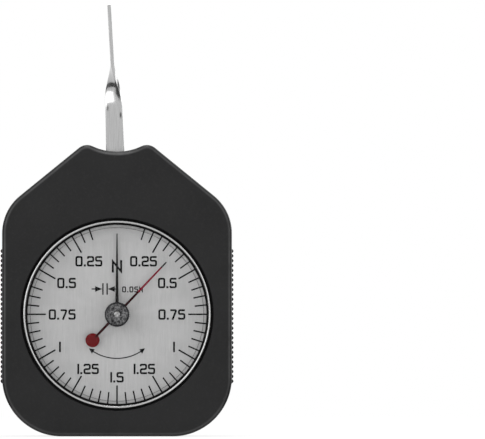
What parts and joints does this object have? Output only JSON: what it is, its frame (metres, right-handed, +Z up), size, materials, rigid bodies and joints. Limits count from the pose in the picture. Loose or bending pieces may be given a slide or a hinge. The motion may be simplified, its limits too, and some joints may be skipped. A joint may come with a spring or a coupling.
{
  "type": "dial tension gauge",
  "caption": "Pocket gauge with a twisted feeler lever on top, a round dial with a main and a peak pointer behind a clear crystal, and a ribbed moulded case.",
  "frame": {"origin": "middle of the gauge's footprint, on its flat base", "axes": "+Z up towards the lever, +Y back from the dial, +X to the dial's right"},
  "size_m": [0.0628, 0.0212, 0.1167],
  "materials": {
    "black_shell": "fine satin moulding",
    "black_cover": "fine satin moulding",
    "label": "matt film",
    "screw_steel": "bright zinc",
    "clear_acrylic": "clear",
    "black_rubber": "matt",
    "bright_ring": "bright nickel",
    "dial_silver": "silver satin",
    "knob_metal": "dark knurled",
    "red_paint": "satin",
    "black_paint": "satin",
    "bright_steel": "polished",
    "spring_steel": "blued grey",
    "brass": "machined",
    "bronze": "machined bronze"
  },
  "bodies": {
    "case": {"front_shell": "black_shell", "back_cover": "black_cover", "back_label": "label", "crystal": "clear_acrylic", "crystal_gasket": "black_rubber", "bezel_ring": "bright_ring", "dial_plate": "dial_silver", "hairspring": "spring_steel", "hairspring_stud": "brass", "lever_spring": "spring_steel", "spring_post": "bright_steel", "main_plate": "brass", "back_plate": "brass", "arbor_bush_front": "bronze", "axle_bush_front": "bronze", "arbor_bush_back": "bronze", "axle_bush_back": "bronze", "stop_pin_left": "bright_steel", "stop_pin_right": "bright_steel", "cover_screw_upper_left": "screw_steel", "pillar_upper_left": "brass", "pillar_screw_upper_left": "screw_steel", "cover_screw_upper_right": "screw_steel", "pillar_upper_right": "brass", "pillar_screw_upper_right": "screw_steel", "cover_screw_lower_left": "screw_steel", "pillar_lower_left": "brass", "pillar_screw_lower_left": "screw_steel", "cover_screw_lower_right": "screw_steel", "pillar_lower_right": "brass", "pillar_screw_lower_right": "screw_steel", "movement_screw_1": "screw_steel", "movement_screw_2": "screw_steel", "movement_screw_3": "screw_steel"},
    "lever": {"lever": "bright_steel", "lever_axle": "bright_steel", "lever_hub": "brass", "sector_gear": "brass", "lever_rivet_1": "brass", "lever_rivet_2": "brass", "lever_spring_pin": "bright_steel", "axle_clip": "spring_steel"},
    "pointer": {"main_pointer": "black_paint", "pinion_arbor": "bright_steel", "hairspring_collet": "brass"},
    "peak_hand": {"peak_pointer": "red_paint", "reset_knob": "knob_metal", "knob_spindle": "bright_steel", "knob_washer": "spring_steel", "spindle_retainer": "brass"}
  },
  "joints": [
    {"name": "lever_swing", "type": "hinge", "parent": "case", "child": "lever", "pos_m": [0, 0, 0.0617], "axis": [0, 1, 0], "range_deg": [-12, 12], "stiffness_Nm_per_rad": 0.39, "deforming": ["lever_spring"]},
    {"name": "pointer_spin", "type": "hinge", "parent": "case", "child": "pointer", "pos_m": [0, 0, 0.0329], "axis": [0, 1, 0], "range_deg": [-180, 180], "deforming": ["hairspring"]},
    {"name": "peak_spin", "type": "hinge", "parent": "case", "child": "peak_hand", "pos_m": [0, 0, 0.0329], "axis": [0, 1, 0], "range_deg": [-38.4, 311.6]}
  ],
  "couplings": [
    {"joint": "pointer_spin", "follows": "lever_swing", "ratio": -15}
  ]
}
